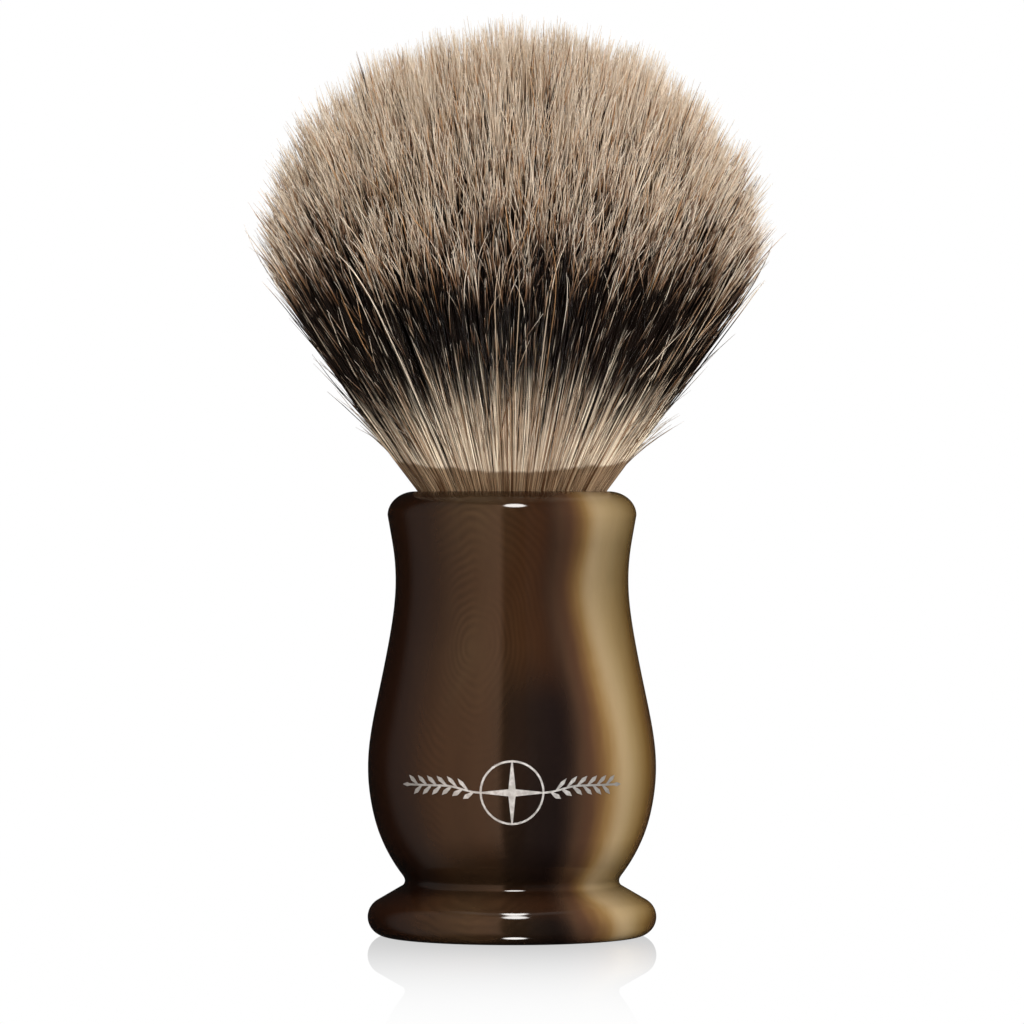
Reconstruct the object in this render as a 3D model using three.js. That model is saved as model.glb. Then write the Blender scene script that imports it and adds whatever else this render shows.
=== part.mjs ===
// A full-size shaving brush: a turned, cast-resin handle with a flared collar, a
// waisted neck, a round belly, a sharp V groove and a flared foot. A bundle of badger
// hair is bound with waxed thread, potted in a resin plug and glued into the socket in
// the top of the handle. The hair fans out of the mouth and ends in a domed crown.
//
// Millimetres, +Z up. The origin is the centre of the flat underside, and -Y is the
// side that carries the foil ornament.

import * as THREE from "three";
import { TessellateModifier } from "three/addons/modifiers/TessellateModifier.js";

const { degToRad, clamp } = THREE.MathUtils;

// ---- Shared dimensions --------------------------------------------------------------
const RIM_Z = 56.0; // height of the handle, underside to the top of the mouth
const BORE_R = 12.0; // socket for a 24 mm knot
const BORE_DEPTH = 14.0;
const BORE_FLOOR_Z = RIM_Z - BORE_DEPTH;
const CLEAR = 0.03; // unit of clearance between bonded pieces

const HANDLE_SEGMENTS = 60; // facets round the handle, adhesive and plug
const HAIR_SEGMENTS = 48; // facets round the hair

const MATERIALS = {
  resin: { color: 0x3a271a, roughness: 0.15, metalness: 0 },
  foil: { color: 0xc4c3c0, roughness: 0.35, metalness: 0.9 },
  adhesive: { color: 0xb9a77a, roughness: 0.3, metalness: 0 },
  plug: { color: 0x6a4a2a, roughness: 0.4, metalness: 0 },
  thread: { color: 0xd8d0bd, roughness: 0.7, metalness: 0 },
  rootHair: { color: 0xa89074, roughness: 0.6, metalness: 0 },
  bandHair: { color: 0x2e2520, roughness: 0.5, metalness: 0 },
  tipHair: { color: 0xb59d82, roughness: 0.6, metalness: 0 },
};

// ---- Drawing helpers ----------------------------------------------------------------
// A natural cubic spline through [x, y] rows, as a function of x.
function spline(rows) {
  const last = rows.length - 1;
  const x = rows.map((row) => row[0]);
  const y = rows.map((row) => row[1]);
  const second = new Array(rows.length).fill(0); // second derivative, zero at both ends

  // Solve the tridiagonal system for the second derivatives: eliminate, then go back.
  const ratio = new Array(rows.length).fill(0);
  const reduced = new Array(rows.length).fill(0);
  for (let i = 1; i < last; i++) {
    const before = x[i] - x[i - 1];
    const after = x[i + 1] - x[i];
    const slopeChange = (y[i + 1] - y[i]) / after - (y[i] - y[i - 1]) / before;
    const pivot = 2 * (before + after) - before * ratio[i - 1];
    ratio[i] = after / pivot;
    reduced[i] = (6 * slopeChange - before * reduced[i - 1]) / pivot;
  }
  for (let i = last - 1; i > 0; i--) second[i] = reduced[i] - ratio[i] * second[i + 1];

  return (at) => {
    let i = 0;
    while (i < last - 1 && at > x[i + 1]) i++;
    const width = x[i + 1] - x[i];
    const a = (x[i + 1] - at) / width;
    const b = (at - x[i]) / width;
    const bow = (a * a * a - a) * second[i] + (b * b * b - b) * second[i + 1];
    return a * y[i] + b * y[i + 1] + (bow * width * width) / 6;
  };
}

// Points on an elliptical arc, both ends included; angles in radians.
function arc({ centre, radii, start, sweep, steps }) {
  const points = [];
  for (let i = 0; i <= steps; i++) {
    const angle = start + (sweep * i) / steps;
    points.push([
      centre[0] + radii[0] * Math.cos(angle),
      centre[1] + radii[1] * Math.sin(angle),
    ]);
  }
  return points;
}

function toVectors(points) {
  return points.map(([x, y]) => new THREE.Vector2(x, y));
}

// A solid of revolution about +Z from [radius, height] rows that run anticlockwise
// round the section: out along the bottom, up the outside and back over the top.
function turned(rows, segments) {
  const geometry = new THREE.LatheGeometry(toVectors(rows), segments);
  geometry.rotateX(Math.PI / 2);
  return geometry;
}

// ---- Handle -------------------------------------------------------------------------
const FOOT_FLAT_R = 15.8; // radius of the flat the brush stands on
const FOOT_BEAD_R = 2.4; // section radius of the foot's bead, so the foot is 36.4 wide
const FOOT_SLOPE = 1.575; // radius lost per mm of height where the bead ends
const GROOVE_Z = 6.92; // height the V groove is drawn about
const GROOVE_R = 13.42; // radius at the bottom of the V groove
const COLLAR_Z = 53.0; // height of the collar's widest circle
const COLLAR_R = 15.69;
const COLLAR_START = degToRad(12); // first angle drawn on the collar's rounding
const LIP = 0.2; // the lip's rounding, down into the bore
const MOUTH_R = BORE_R + LIP; // where the collar's rounding meets the lip
const BODY_STEPS = 19;

// The V groove: [radius beyond GROOVE_R, height from GROOVE_Z].
const GROOVE = [[0.33, -0.55], [0.03, -0.16], [0, 0.1], [0.12, 0.36]];

// The belly, neck and collar, joined by a smooth curve: [height, radius].
const BODY = [
  [7.6, 13.76], [8.5, 14.41], [11.0, 15.888], [13.5, 16.932], [16.0, 17.601],
  [18.5, 18.005], [21.0, 18.159], [23.5, 18.055], [26.0, 17.732], [28.5, 17.269],
  [31.0, 16.75], [33.5, 16.231], [36.0, 15.739], [38.5, 15.292], [41.0, 14.928],
  [43.5, 14.71], [46.0, 14.703], [48.5, 14.925], [50.8, 15.3], [COLLAR_Z, COLLAR_R],
];
const bodyRadius = spline(BODY);

function bodyRows() {
  const bottom = BODY[0][0];
  const rows = [];
  for (let i = 0; i <= BODY_STEPS; i++) {
    const z = bottom + ((COLLAR_Z - bottom) * i) / BODY_STEPS;
    rows.push([bodyRadius(z), z]);
  }
  return rows;
}

function handleBody() {
  const footBead = arc({
    centre: [FOOT_FLAT_R, FOOT_BEAD_R],
    radii: [FOOT_BEAD_R, FOOT_BEAD_R],
    start: -Math.PI / 2,
    sweep: Math.PI / 2 + Math.atan(FOOT_SLOPE),
    steps: 9,
  });
  const collarTop = arc({
    centre: [MOUTH_R, COLLAR_Z],
    radii: [COLLAR_R - MOUTH_R, RIM_Z - COLLAR_Z],
    start: COLLAR_START,
    sweep: Math.PI / 2 - COLLAR_START,
    steps: 6,
  });
  const lip = arc({
    centre: [MOUTH_R, RIM_Z - LIP],
    radii: [LIP, LIP],
    start: (3 * Math.PI) / 4,
    sweep: Math.PI / 4,
    steps: 1,
  });
  const rows = [
    [0, 0],
    ...footBead,
    ...GROOVE.map(([out, up]) => [GROOVE_R + out, GROOVE_Z + up]),
    ...bodyRows(),
    ...collarTop,
    ...lip,
    [BORE_R, BORE_FLOOR_Z],
    [0, BORE_FLOOR_Z],
  ];
  return turned(rows, HANDLE_SEGMENTS);
}

// ---- Foil ornament ------------------------------------------------------------------
// A thin ring round a four-pointed star, with a leafy sprig to each side. It is drawn
// flat as [u, v], with u along the belly and v up, both from the ring's centre.
const FOIL_Z = 18.9; // height of the ring's centre
const FOIL_T = 0.06; // thickness of the foil
const FOIL_LIFT = 0.035; // foil's back above the resin
const FOIL_EDGE = 1.6; // edges are split down to this, so that the foil follows the belly
const FOIL_PASSES = 8; // most rounds of splitting

const RING_R = 4.0; // to the ring's outer edge
const RING_LINE = 0.25; // width of the ring
const STAR_POINT = 0.1; // half width of a star point where it meets the ring
const STAR_VALLEY_R = 0.62; // radius of the star's valleys

const STEM_HALF = 0.12; // half width of a stem
const STEM_RISE = 0.8; // how far the stems climb above the ring's centre
const STEM_RISE_RUN = 4.5; // length over which they climb
const STEM_ANGLE = Math.asin(STEM_HALF / RING_R); // half the ring's arc a stem covers
const STEM_START = RING_R * Math.cos(STEM_ANGLE);
const LOWER_LEAF_START = 0.95; // first lower leaf, from the start of the stem
const UPPER_LEAF_START = 1.6; // first upper leaf, likewise
const SPRIG_END = 15.1; // half the ornament's length, along the belly
const END_LEAF_U = SPRIG_END - 1.3; // where the end leaf starts

const LEAF = 1.6; // length of a leaf
const LEAF_W = 0.27; // half width of a leaf
const LEAF_TILT = 0.72; // angle between a leaf and its stem, radians
const LEAF_PITCH = 1.42; // distance between leaves on one side of a stem

// A leaf's free outline: [fraction of its length, fraction of its half width].
const LEAF_OUTLINE = [[0.3, 0.8], [0.58, 1], [1, 0], [0.62, -1], [0.36, -0.75]];

// Height of a stem's centre line above the ring's centre.
function stemHeight(u) {
  const t = clamp((u - STEM_START) / STEM_RISE_RUN, 0, 1);
  return STEM_RISE * t * t * (3 - 2 * t);
}

// A leaf that leaves the lower edge of a straight stem at u, as its outline from the
// side nearer the ring, round the point and back.
function leafPoints(u) {
  const cos = Math.cos(LEAF_TILT);
  const sin = Math.sin(LEAF_TILT);
  const outline = LEAF_OUTLINE.map(([length, width]) => {
    const along = length * LEAF;
    const across = width * LEAF_W;
    return [u + along * cos - across * sin, -STEM_HALF - along * sin - across * cos];
  });
  return [[u - 0.16, -STEM_HALF], ...outline, [u + 0.2, -STEM_HALF]];
}

// Lower edge of a straight sprig whose first leaf is at firstLeaf.
function sprigEdge(firstLeaf) {
  const points = [[STEM_START, -STEM_HALF], [(STEM_START + firstLeaf) / 2, -STEM_HALF]];
  for (let u = firstLeaf; u + LEAF < END_LEAF_U + 0.9; u += LEAF_PITCH) {
    points.push(...leafPoints(u));
  }
  points.push([END_LEAF_U, -STEM_HALF], [END_LEAF_U + 0.55, -LEAF_W * 0.95]);
  return points;
}

// The sprig on +u: out along its lower edge, round the end leaf and back along the top.
function sprigPoints() {
  const lower = sprigEdge(STEM_START + LOWER_LEAF_START);
  const upper = sprigEdge(STEM_START + UPPER_LEAF_START).map(([u, v]) => [u, -v]);
  const straight = [...lower, [SPRIG_END, 0], ...upper.reverse()];
  return straight.map(([u, v]) => [u, v + stemHeight(u)]);
}

// The ring's outer edge between the stems, from a start angle, without its end points.
function ringEdge(start) {
  return arc({
    centre: [0, 0],
    radii: [RING_R, RING_R],
    start,
    sweep: Math.PI - 2 * STEM_ANGLE,
    steps: 20,
  }).slice(1, -1);
}

// One of the four openings between the ring and the star: along the ring, then in to
// the star's valley and back out.
function starOpening(turn) {
  const inner = RING_R - RING_LINE;
  const margin = Math.asin(STAR_POINT / inner);
  const points = toVectors(arc({
    centre: [0, 0],
    radii: [inner, inner],
    start: turn + margin,
    sweep: Math.PI / 2 - 2 * margin,
    steps: 9,
  }));
  const first = points[0];
  const last = points[points.length - 1];
  const angle = turn + Math.PI / 4;
  const valley = new THREE.Vector2(
    STAR_VALLEY_R * Math.cos(angle),
    STAR_VALLEY_R * Math.sin(angle),
  );
  points.push(last.clone().lerp(valley, 0.5), valley, valley.clone().lerp(first, 0.5));
  return new THREE.Path().setFromPoints(points);
}

function ornamentShape() {
  const right = sprigPoints();
  const left = right.map(([u, v]) => [-u, v]).reverse();
  const outline = [
    ...right,
    ...ringEdge(STEM_ANGLE),
    ...left,
    ...ringEdge(Math.PI + STEM_ANGLE),
  ];
  const shape = new THREE.Shape(toVectors(outline));
  for (let i = 0; i < 4; i++) shape.holes.push(starOpening((i * Math.PI) / 2));
  return shape;
}

// Bends a flat geometry round the -Y side of the belly.
function wrapOntoBelly(geometry) {
  const position = geometry.getAttribute("position");
  const wrapRadius = bodyRadius(FOIL_Z);
  for (let i = 0; i < position.count; i++) {
    const angle = position.getX(i) / wrapRadius;
    const z = FOIL_Z + position.getY(i);
    const radius = bodyRadius(z) + FOIL_LIFT + position.getZ(i);
    position.setXYZ(i, radius * Math.sin(angle), -radius * Math.cos(angle), z);
  }
  geometry.computeVertexNormals();
}

function emblemFoil() {
  const flat = new THREE.ExtrudeGeometry(ornamentShape(), {
    depth: FOIL_T,
    steps: 1,
    curveSegments: 1,
    bevelEnabled: false,
  });
  const geometry = new TessellateModifier(FOIL_EDGE, FOIL_PASSES).modify(flat);
  wrapOntoBelly(geometry);
  return geometry;
}

// ---- Knot: adhesive, plug and thread ------------------------------------------------
const GLUE_R = BORE_R - 0.32; // inner radius of the adhesive round the plug
const GLUE_FLOOR_Z = BORE_FLOOR_Z + 0.4; // top of the adhesive under the plug
const GLUE_TOP_Z = 49.3;
const PLUG_TOP_Z = 49.5;
const PLUG_BOTTOM_CHAMFER = 0.5;
const PLUG_TOP_CHAMFER = 0.3;

const THREAD_R = 0.3; // section radius of the waxed thread
const THREAD_TURNS = 5;
const THREAD_PITCH = 0.66;
const THREAD_Z = 50.0; // underside of the thread where the coil starts
const THREAD_COIL_R = 11.25; // to the thread's centre line
const COIL_RISE = THREAD_PITCH * THREAD_TURNS;

function socketAdhesive() {
  const bottom = BORE_FLOOR_Z + CLEAR;
  const outer = BORE_R - CLEAR;
  const rows = [
    [0, bottom], [outer, bottom], [outer, GLUE_TOP_Z],
    [GLUE_R, GLUE_TOP_Z], [GLUE_R, GLUE_FLOOR_Z], [0, GLUE_FLOOR_Z],
  ];
  return turned(rows, HANDLE_SEGMENTS);
}

function knotPlug() {
  const bottom = GLUE_FLOOR_Z + 2 * CLEAR;
  const radius = GLUE_R - 3 * CLEAR;
  const rows = [
    [0, bottom],
    [radius - PLUG_BOTTOM_CHAMFER, bottom],
    [radius, bottom + PLUG_BOTTOM_CHAMFER],
    [radius, PLUG_TOP_Z - PLUG_TOP_CHAMFER],
    [radius - PLUG_TOP_CHAMFER, PLUG_TOP_Z],
    [0, PLUG_TOP_Z],
  ];
  return turned(rows, HANDLE_SEGMENTS);
}

// Centre line of the thread: a helix that climbs anticlockwise about +Z.
class Whipping extends THREE.Curve {
  getPoint(t, target = new THREE.Vector3()) {
    const angle = 2 * Math.PI * THREAD_TURNS * t;
    return target.set(
      THREAD_COIL_R * Math.cos(angle),
      THREAD_COIL_R * Math.sin(angle),
      THREAD_Z + THREAD_R + COIL_RISE * t,
    );
  }
}

function bindingThread() {
  const section = new THREE.Shape();
  section.absarc(0, 0, THREAD_R, 0, 2 * Math.PI, false);
  return new THREE.ExtrudeGeometry(section, {
    steps: THREAD_TURNS * 22,
    curveSegments: 4,
    extrudePath: new Whipping(),
    bevelEnabled: false,
  });
}

// ---- Knot: hair ---------------------------------------------------------------------
// The bundle is one soft mass. It is split where it bends: at two spherical surfaces,
// each centred on the point its upper part swings about, so that the parts slide past
// each other and never meet.
const BUTT_R = 10.55; // radius of the hair where the thread binds it
const HAIR_MOUTH_R = 11.8; // radius of the hair as it leaves the mouth
const CROWN_R = 31.3; // widest radius of the hair
const CROWN_UP = 30.2; // height of the widest circle above the rim
const CROWN_RISE = 28.5; // crown above its widest circle

// The bends' centre heights, radii and steps from outline to axis.
const LOWER_BEND = { z: RIM_Z + 2.0, radius: 22.0, steps: 6 };
const UPPER_BEND = { z: RIM_Z + 8.0, radius: 34.8, steps: 8 };
const BEND_GAP = 0.35; // clearance at each bend

// Outline of the hair up to its widest circle: [height above the rim, radius].
const HAIR = [
  [0, HAIR_MOUTH_R], [4.3, 14.85], [8.3, 17.65], [12.4, 20.55], [16.4, 23.5],
  [20.4, 26.5], [22.4, 28.0], [24.5, 29.3], [26.5, 30.3], [28.5, 31.0],
  [CROWN_UP, CROWN_R],
];
const hairRadius = spline(HAIR);

// The same bend, a clearance further out: the underside of the part above it.
function aboveGap(bend) {
  return { ...bend, radius: bend.radius + BEND_GAP };
}

// Height above the rim at which the outline crosses a bend's sphere, by bisection.
function edgeHeight(bend) {
  let low = 0;
  let high = CROWN_UP;
  for (let i = 0; i < 60; i++) {
    const middle = (low + high) / 2;
    const distance = Math.hypot(hairRadius(middle), RIM_Z + middle - bend.z);
    if (distance < bend.radius) low = middle;
    else high = middle;
  }
  return (low + high) / 2;
}

// Rows on a bend's sphere, from the hair's outline in to the axis.
function bendRows(bend) {
  const edge = edgeHeight(bend);
  const edgeAngle = Math.atan2(hairRadius(edge), RIM_Z + edge - bend.z); // from +Z
  const rows = [];
  for (let i = 0; i <= bend.steps; i++) {
    const angle = edgeAngle * (1 - i / bend.steps);
    rows.push([bend.radius * Math.sin(angle), bend.z + bend.radius * Math.cos(angle)]);
  }
  return rows;
}

// Rows on the hair's outline strictly between two heights above the rim.
function outlineRows(from, to, steps) {
  const rows = [];
  for (let i = 1; i < steps; i++) {
    const height = from + ((to - from) * i) / steps;
    rows.push([hairRadius(height), RIM_Z + height]);
  }
  return rows;
}

function hairRoots() {
  const bottom = PLUG_TOP_Z + CLEAR;
  const coilTop = THREAD_Z + 2 * THREAD_R + COIL_RISE;
  const rows = [
    [0, bottom],
    [BUTT_R, bottom],
    [BUTT_R, coilTop + 0.1],
    [HAIR_MOUTH_R - 0.35, coilTop + 0.9],
    [HAIR_MOUTH_R - 0.1, RIM_Z - 0.4],
    [HAIR_MOUTH_R + 0.1, RIM_Z + 0.3],
    ...outlineRows(0, edgeHeight(LOWER_BEND), 4),
    ...bendRows(LOWER_BEND),
  ];
  return turned(rows, HAIR_SEGMENTS);
}

function hairBand() {
  const underside = aboveGap(LOWER_BEND);
  const rows = [
    ...bendRows(underside).reverse(),
    ...outlineRows(edgeHeight(underside), edgeHeight(UPPER_BEND), 6),
    ...bendRows(UPPER_BEND),
  ];
  return turned(rows, HAIR_SEGMENTS);
}

function hairTips() {
  const underside = aboveGap(UPPER_BEND);
  const crownZ = RIM_Z + CROWN_UP;
  const crown = arc({
    centre: [0, crownZ],
    radii: [CROWN_R, CROWN_RISE],
    start: 0,
    sweep: Math.PI / 2,
    steps: 11,
  });
  const rows = [
    ...bendRows(underside).reverse(),
    ...outlineRows(edgeHeight(underside), CROWN_UP, 3),
    ...crown.slice(0, -1),
    [0, crownZ + CROWN_RISE], // exactly on the axis, so that the crown closes
  ];
  return turned(rows, HAIR_SEGMENTS);
}

// ---- Assembly -----------------------------------------------------------------------
function piece(name, geometry, material) {
  const mesh = new THREE.Mesh(geometry, new THREE.MeshStandardMaterial(material));
  mesh.name = name;
  return mesh;
}

const knot = new THREE.Group();
knot.add(
  piece("socket_adhesive", socketAdhesive(), MATERIALS.adhesive),
  piece("knot_plug", knotPlug(), MATERIALS.plug),
  piece("binding_thread", bindingThread(), MATERIALS.thread),
  piece("hair_roots", hairRoots(), MATERIALS.rootHair),
  piece("hair_band", hairBand(), MATERIALS.bandHair),
  piece("hair_tips", hairTips(), MATERIALS.tipHair),
);

const brush = new THREE.Group();
brush.add(
  piece("handle_body", handleBody(), MATERIALS.resin),
  piece("emblem_foil", emblemFoil(), MATERIALS.foil),
  knot,
);

export default brush;
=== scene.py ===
"""A full-size badger shaving brush with a horn-effect resin handle, built round its CAD frame.

It stands upright on z = 0 round the Z axis, and its front faces -Y. Geometry is worked out in mm;
shaders, lights and the camera use metres. Angles round the brush start at the front and grow
towards +X, the right.
"""
import math
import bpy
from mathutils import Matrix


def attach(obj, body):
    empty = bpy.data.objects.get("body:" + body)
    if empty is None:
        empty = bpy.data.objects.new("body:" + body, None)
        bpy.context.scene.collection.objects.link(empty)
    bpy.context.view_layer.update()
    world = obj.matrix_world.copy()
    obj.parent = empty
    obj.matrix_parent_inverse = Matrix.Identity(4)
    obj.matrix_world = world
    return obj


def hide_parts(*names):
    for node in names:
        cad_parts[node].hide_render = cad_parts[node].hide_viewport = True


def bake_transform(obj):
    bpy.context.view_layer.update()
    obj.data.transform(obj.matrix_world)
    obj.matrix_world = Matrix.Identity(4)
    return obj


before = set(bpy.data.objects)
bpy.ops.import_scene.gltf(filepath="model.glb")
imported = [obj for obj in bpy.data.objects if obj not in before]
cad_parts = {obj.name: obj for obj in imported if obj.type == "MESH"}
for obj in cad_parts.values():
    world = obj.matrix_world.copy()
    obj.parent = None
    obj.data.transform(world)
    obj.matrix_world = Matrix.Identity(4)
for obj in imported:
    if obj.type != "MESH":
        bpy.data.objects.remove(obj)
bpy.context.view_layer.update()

from types import SimpleNamespace

import bpy
import numpy as np
from mathutils import Vector

MM = 0.001
RIM = 56.0  # height of the handle, mm
scene = bpy.context.scene


# ---- Shader tools -------------------------------------------------------------------
class Nodes:
    """Makes and links the shader nodes of one material or world."""

    def __init__(self, owner):
        owner.use_nodes = True
        self.tree = owner.node_tree
        self.tree.nodes.clear()

    def put(self, socket, value):
        if isinstance(value, bpy.types.NodeSocket):
            self.tree.links.new(value, socket)
        elif isinstance(value, tuple) and len(value) == 3 and socket.type == "RGBA":
            socket.default_value = (*value, 1.0)
        else:
            socket.default_value = value

    def new(self, kind, inputs={}, **settings):
        """A node of type ShaderNode<kind>, its inputs given by name or number."""
        node = self.tree.nodes.new("ShaderNode" + kind)
        for name, value in settings.items():
            setattr(node, name, value)
        for key, value in inputs.items():
            self.put(node.inputs[key], value)
        return node

    def maths(self, operation, *values):
        return self.new("Math", dict(enumerate(values)), operation=operation).outputs[0]

    def times(self, first, *others):
        for other in others:
            first = self.maths("MULTIPLY", first, other)
        return first

    def times_add(self, value, factor, addend):
        return self.maths("MULTIPLY_ADD", value, factor, addend)

    def vector_maths(self, operation, vector, other):
        inputs = {0: vector, "Scale" if operation == "SCALE" else 1: other}
        return self.new("VectorMath", inputs, operation=operation).outputs[0]

    def fade(self, value, start, end, low=0.0, high=1.0, shape="SMOOTHSTEP"):
        """From low to high as the value goes from start to end."""
        inputs = {"Value": value, "From Min": start, "From Max": end, "To Min": low, "To Max": high}
        return self.new("MapRange", inputs, interpolation_type=shape).outputs[0]

    def mix(self, share, base, over, blend="MIX"):
        # inputs 6 and 7 and output 2 are the colour sockets
        inputs = {0: share, 6: base, 7: over}
        node = self.new("Mix", inputs, data_type="RGBA", blend_type=blend, clamp_factor=True)
        return node.outputs[2]

    def split(self, vector):
        return self.new("SeparateXYZ", {0: vector}).outputs

    def attribute(self, name):
        """The three channels of a stored vector."""
        return self.split(self.new("Attribute", attribute_name=name).outputs["Vector"])

    def position(self):
        return self.new("TexCoord").outputs["Object"]

    def noise(self, vector, scale, detail=3.0, rough=0.5, distortion=0.0):
        return self.new("TexNoise", {
            "Vector": vector, "Scale": scale, "Detail": detail,
            "Roughness": rough, "Distortion": distortion,
        }, noise_dimensions="3D").outputs[0]

    def bump(self, height, strength, distance):
        inputs = {"Height": height, "Strength": strength, "Distance": distance}
        return self.new("Bump", inputs).outputs[0]

    def output(self, shader, kind="OutputMaterial"):
        self.new(kind, {"Surface": shader})

    def principled(self, inputs):
        self.output(self.new("BsdfPrincipled", inputs).outputs[0])


def new_material(name):
    made = bpy.data.materials.new(name)
    return made, Nodes(made)


def srgb(*display):
    """Linear colour from 0-255 display values."""
    shares = [value / 255 for value in display]
    return tuple(c / 12.92 if c <= 0.04045 else ((c + 0.055) / 1.055) ** 2.4 for c in shares)


# ---- Mesh and number tools ----------------------------------------------------------
def mesh_object(name, verts, loops, starts, smooth=True):
    """An object from points in mm, the point number of each loop and each face's first loop."""
    mesh = bpy.data.meshes.new(name)
    mesh.vertices.add(len(verts))
    mesh.vertices.foreach_set("co", (np.asarray(verts) * MM).astype(np.float32).ravel())
    mesh.loops.add(len(loops))
    mesh.loops.foreach_set("vertex_index", np.asarray(loops, np.int32))
    mesh.polygons.add(len(starts))
    mesh.polygons.foreach_set("loop_start", np.asarray(starts, np.int32))
    mesh.update(calc_edges=True)
    if smooth:
        mesh.polygons.foreach_set("use_smooth", np.ones(len(starts), bool))
    made = bpy.data.objects.new(name, mesh)
    scene.collection.objects.link(made)
    return made


def store_vectors(mesh, name, channels):
    """Store three per-point channels as one vector attribute."""
    attribute = mesh.attributes.new(name, "FLOAT_VECTOR", "POINT")
    attribute.data.foreach_set("vector", np.stack(channels, -1).astype(np.float32).ravel())


def spline(xs, ys):
    """A natural cubic spline."""
    x, y = np.asarray(xs, float), np.asarray(ys, float)
    count = len(x)
    gap = np.diff(x)
    slope = np.diff(y) / gap
    matrix = np.eye(count)
    target = np.zeros(count)
    for i in range(1, count - 1):
        matrix[i, i - 1 : i + 2] = gap[i - 1], 2 * (gap[i - 1] + gap[i]), gap[i]
        target[i] = 6 * (slope[i] - slope[i - 1])
    bend = np.linalg.solve(matrix, target)

    def at(where):
        where = np.asarray(where, float)
        i = np.clip(np.searchsorted(x, where) - 1, 0, count - 2)
        width = x[i + 1] - x[i]
        before, after = (x[i + 1] - where) / width, (where - x[i]) / width
        curve = (before**3 - before) * bend[i] + (after**3 - after) * bend[i + 1]
        return before * y[i] + after * y[i + 1] + curve * width * width / 6

    return at


def smooth01(t):
    t = np.clip(t, 0, 1)
    return t * t * (3 - 2 * t)


# ---- Handle shape -------------------------------------------------------------------
BODY = np.array([  # height, radius
    [7.6, 13.76], [8.5, 14.41], [11.0, 15.888], [13.5, 16.932], [16.0, 17.601],
    [18.5, 18.005], [21.0, 18.159], [23.5, 18.055], [26.0, 17.732], [28.5, 17.269],
    [31.0, 16.75], [33.5, 16.231], [36.0, 15.739], [38.5, 15.292], [41.0, 14.928],
    [43.5, 14.71], [46.0, 14.703], [48.5, 14.925], [50.8, 15.3], [53.0, 15.69],
])
AXIS_R = 0.35  # radius at which the end fans start
BEAD_CENTRE_R, BEAD_R = 15.8, 2.4  # rounded foot
BEAD_SLOPE = 1.575  # tangent of the angle at which the foot's arc stops
NECK_START, NECK_CORNER = (13.75, 6.37), (13.28, 6.93)  # (radius, height) in the V above the foot
SOCKET_R, SOCKET_FLOOR = 12.0, 42.0
LIP_R = 0.2  # rounding of the socket's edge
HANDLE_SEGMENTS = 288


def arc(centre_r, centre_z, size_r, size_z, start, end, count):
    angle = np.radians(np.linspace(start, end, count))
    return np.c_[centre_r + size_r * np.cos(angle), centre_z + size_z * np.sin(angle)]


def handle_profile():
    """(radius, height) rows from the middle of the base, over the rim, to the socket floor."""
    (belly_z, belly_r), (top_z, top_r) = BODY[0], BODY[-1]
    lip_centre = SOCKET_R + LIP_R
    base = np.c_[np.linspace(AXIS_R, 15.0, 12), np.zeros(12)]
    bead_end = math.degrees(math.atan(BEAD_SLOPE))
    bead = arc(BEAD_CENTRE_R, BEAD_R, BEAD_R, BEAD_R, -90, bead_end, 30)
    # the foot's slope, then the rounded bottom of the V as a quadratic curve
    start, corner = np.array(NECK_START), np.array(NECK_CORNER)
    t = np.linspace(0, 1, 9)[1:-1, None]
    slope = bead[-1] + (start - bead[-1]) * t
    t = np.linspace(0, 1, 12)[:, None]
    neck = (1 - t) ** 2 * start + 2 * t * (1 - t) * corner + t * t * [belly_r, belly_z]
    z = np.linspace(belly_z, top_z, 152)[1:-1]
    body = np.c_[spline(*BODY.T)(z), z]
    shoulder = arc(lip_centre, top_z, top_r - lip_centre, RIM - top_z, 0, 90, 26)
    lip = arc(lip_centre, RIM - LIP_R, LIP_R, LIP_R, 100, 180, 5)
    wall = [[SOCKET_R, z] for z in (54.5, 50.0, 46.0, SOCKET_FLOOR + 0.2)]
    floor = [[r, SOCKET_FLOOR] for r in (11.6, 6.0, AXIS_R)]
    return np.vstack([base, bead, slope, neck, body, shoulder, lip, wall, floor])


def lathe(name, profile, segments):
    """A closed solid of revolution from (r, z) rows, its first and last row closed by a fan."""
    angle = np.linspace(0, 2 * np.pi, segments, endpoint=False)
    r, z = profile.T
    rows = len(r)
    verts = np.stack([r[:, None] * np.sin(angle), -r[:, None] * np.cos(angle),
                      np.repeat(z[:, None], segments, 1)], -1).reshape(-1, 3)
    verts = np.vstack([verts, [[0, 0, z[0]], [0, 0, z[-1]]]])
    i, j = np.meshgrid(np.arange(rows - 1) * segments, np.arange(segments), indexing="ij")
    j_next = (j + 1) % segments
    quads = np.stack([i + j, i + j_next, i + segments + j_next, i + segments + j], -1)
    ring = np.arange(segments)
    ring_next = (ring + 1) % segments
    centre = np.full(segments, rows * segments)
    last = (rows - 1) * segments
    low = np.stack([centre, ring_next, ring], -1)
    top = np.stack([centre + 1, last + ring, last + ring_next], -1)
    loops = np.concatenate([quads.ravel(), low.ravel(), top.ravel()])
    starts = np.concatenate([np.arange(i.size) * 4, i.size * 4 + np.arange(2 * segments) * 3])
    return mesh_object(name, verts, loops, starts)


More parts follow.
